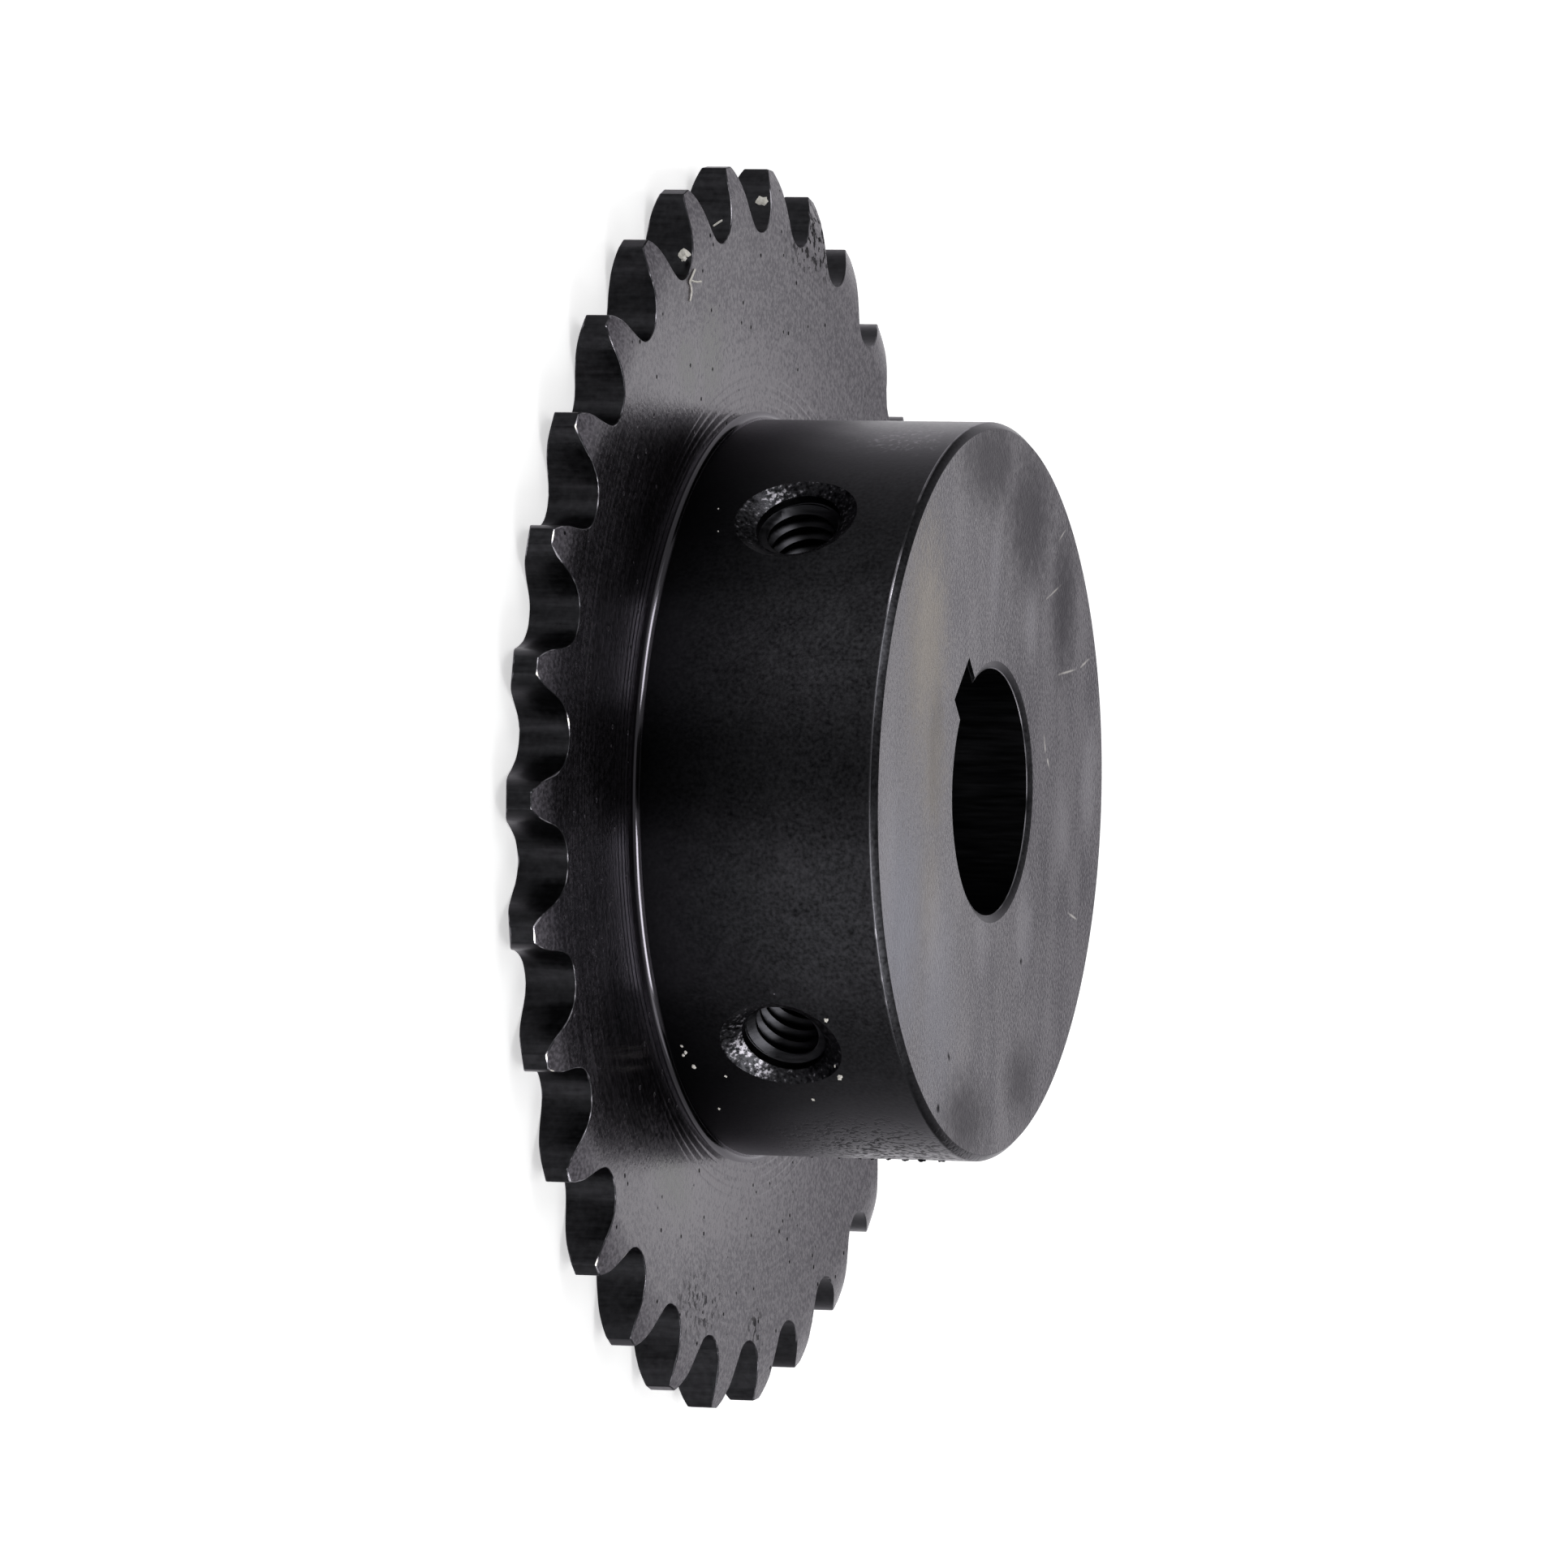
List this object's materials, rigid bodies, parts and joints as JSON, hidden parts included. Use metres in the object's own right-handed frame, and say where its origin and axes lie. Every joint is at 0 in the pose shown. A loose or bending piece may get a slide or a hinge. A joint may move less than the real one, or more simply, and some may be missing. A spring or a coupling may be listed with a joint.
{
  "type": "roller-chain sprocket",
  "caption": "Roller-chain sprocket with a hub on one side, keyed bore and two set-screw holes, to drive or be driven by a chain.",
  "frame": {"origin": "centre of the bore on the flat back face of the toothed plate, which the part rests on", "axes": "+Z along the bore towards the hub's face, +X through the middle of the keyway, the set-screw hole over it and a tooth"},
  "size_m": [0.0964, 0.096, 0.0234],
  "materials": {
    "blackened_steel": "hot-blackened machined steel, dark grey, satin, with worn bright edges"
  },
  "bodies": {
    "root": {"sprocket": "blackened_steel"}
  },
  "joints": []
}
